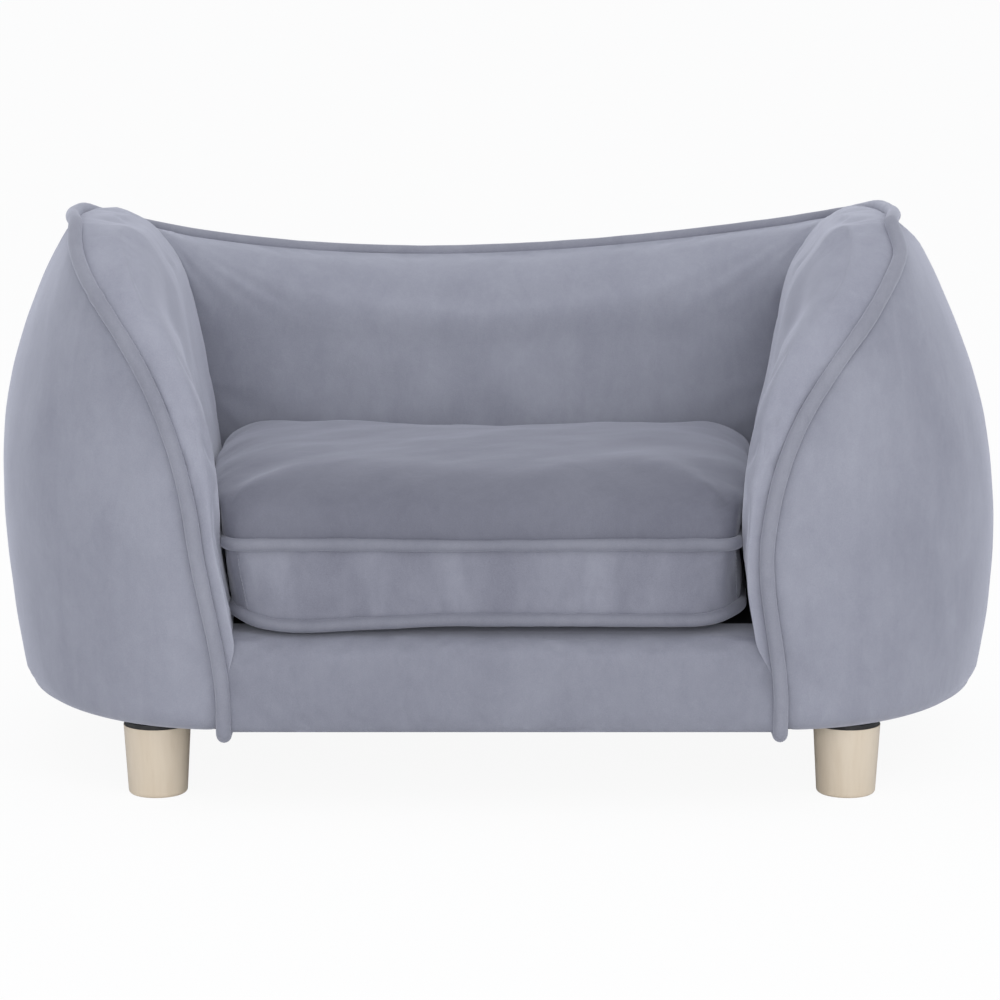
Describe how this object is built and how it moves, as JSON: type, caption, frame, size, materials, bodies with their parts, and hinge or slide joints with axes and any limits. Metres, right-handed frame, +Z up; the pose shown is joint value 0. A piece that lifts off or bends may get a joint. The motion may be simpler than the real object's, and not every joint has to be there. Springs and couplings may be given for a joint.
{
  "type": "pet sofa bed",
  "caption": "Barrel-sided upholstered pet sofa with sloping piped arms, a dipped back, a loose boxed seat cushion and short screw-in wooden legs.",
  "frame": {"origin": "on the floor, under the middle of the body", "axes": "+X across the sofa, to the right seen from the front; +Y from the front to the back; +Z up"},
  "size_m": [0.6836, 0.4154, 0.3764],
  "materials": {
    "plywood": "sawn, unfinished",
    "hardboard": "smooth, bent",
    "foam": "open-cell, cut",
    "nonwoven": "matt non-woven",
    "steel": "zinc plated",
    "rubber": "matt",
    "zip_tape": "moulded coil, satin",
    "piping_velvet": "short-pile velvet, corded",
    "velvet": "short-pile velvet",
    "leg_wood": "pale, satin"
  },
  "bodies": {
    "sofa": {"base_board": "plywood", "front_rail": "plywood", "rear_rail": "plywood", "seat_bearers": "plywood", "seat_board": "plywood", "arm_board_left": "plywood", "arm_board_right": "plywood", "arm_ribs_left": "plywood", "arm_ribs_right": "plywood", "arm_rail_left": "plywood", "arm_rail_right": "plywood", "back_posts": "plywood", "back_top_rail": "plywood", "back_board": "hardboard", "shell_board_left": "hardboard", "shell_board_right": "hardboard", "shell_board_back": "hardboard", "outer_foam_left": "foam", "outer_foam_right": "foam", "outer_foam_back": "foam", "outer_cover_left": "velvet", "outer_cover_right": "velvet", "outer_cover_back": "velvet", "front_foam": "foam", "front_cover": "velvet", "deck_foam": "foam", "deck_cloth": "nonwoven", "arm_foam_left": "foam", "arm_foam_right": "foam", "back_foam": "foam", "arm_cover_left": "velvet", "arm_cover_right": "velvet", "back_cover": "velvet", "body_piping": "piping_velvet", "dust_cover": "nonwoven", "tee_nuts": "steel"},
    "cushion": {"cushion_filling": "foam", "cushion_top_panel": "velvet", "cushion_bottom_panel": "velvet", "cushion_side_band": "velvet", "cushion_zip_band": "velvet", "cushion_top_piping": "piping_velvet", "cushion_bottom_piping": "piping_velvet", "zip_chain": "zip_tape"},
    "zip_slider": {"zip_slider": "steel"},
    "leg_front_left": {"leg_front_left": "leg_wood", "leg_bolt_front_left": "steel"},
    "leg_washer_front_left": {"leg_washer_front_left": "rubber"},
    "leg_front_right": {"leg_front_right": "leg_wood", "leg_bolt_front_right": "steel"},
    "leg_washer_front_right": {"leg_washer_front_right": "rubber"},
    "leg_rear_left": {"leg_rear_left": "leg_wood", "leg_bolt_rear_left": "steel"},
    "leg_washer_rear_left": {"leg_washer_rear_left": "rubber"},
    "leg_rear_right": {"leg_rear_right": "leg_wood", "leg_bolt_rear_right": "steel"},
    "leg_washer_rear_right": {"leg_washer_rear_right": "rubber"}
  },
  "joints": [
    {"name": "cushion_lift", "type": "slide", "parent": "sofa", "child": "cushion", "axis": [0, 0, 1], "range_m": [0, 0.3]},
    {"name": "zip_slide", "type": "slide", "parent": "cushion", "child": "zip_slider", "axis": [1, 0, 0], "range_m": [0, 0.268]},
    {"name": "leg_unscrew_front_left", "type": "slide", "parent": "sofa", "child": "leg_washer_front_left", "axis": [0, 0, -1], "range_m": [0, 0.0125]},
    {"name": "leg_turn_front_left", "type": "hinge", "parent": "leg_washer_front_left", "child": "leg_front_left", "pos_m": [-0.2265, -0.158, 0.0465], "axis": [0, 0, -1], "range_deg": [0, 3600]},
    {"name": "leg_unscrew_front_right", "type": "slide", "parent": "sofa", "child": "leg_washer_front_right", "axis": [0, 0, -1], "range_m": [0, 0.0125]},
    {"name": "leg_turn_front_right", "type": "hinge", "parent": "leg_washer_front_right", "child": "leg_front_right", "pos_m": [0.2265, -0.158, 0.0465], "axis": [0, 0, -1], "range_deg": [0, 3600]},
    {"name": "leg_unscrew_rear_left", "type": "slide", "parent": "sofa", "child": "leg_washer_rear_left", "axis": [0, 0, -1], "range_m": [0, 0.0125]},
    {"name": "leg_turn_rear_left", "type": "hinge", "parent": "leg_washer_rear_left", "child": "leg_rear_left", "pos_m": [-0.2265, 0.158, 0.0465], "axis": [0, 0, -1], "range_deg": [0, 3600]},
    {"name": "leg_unscrew_rear_right", "type": "slide", "parent": "sofa", "child": "leg_washer_rear_right", "axis": [0, 0, -1], "range_m": [0, 0.0125]},
    {"name": "leg_turn_rear_right", "type": "hinge", "parent": "leg_washer_rear_right", "child": "leg_rear_right", "pos_m": [0.2265, 0.158, 0.0465], "axis": [0, 0, -1], "range_deg": [0, 3600]}
  ],
  "couplings": [
    {"joint": "leg_unscrew_front_left", "follows": "leg_turn_front_left", "m_per_rad": 0.00019894},
    {"joint": "leg_unscrew_front_right", "follows": "leg_turn_front_right", "m_per_rad": 0.00019894},
    {"joint": "leg_unscrew_rear_left", "follows": "leg_turn_rear_left", "m_per_rad": 0.00019894},
    {"joint": "leg_unscrew_rear_right", "follows": "leg_turn_rear_right", "m_per_rad": 0.00019894}
  ]
}
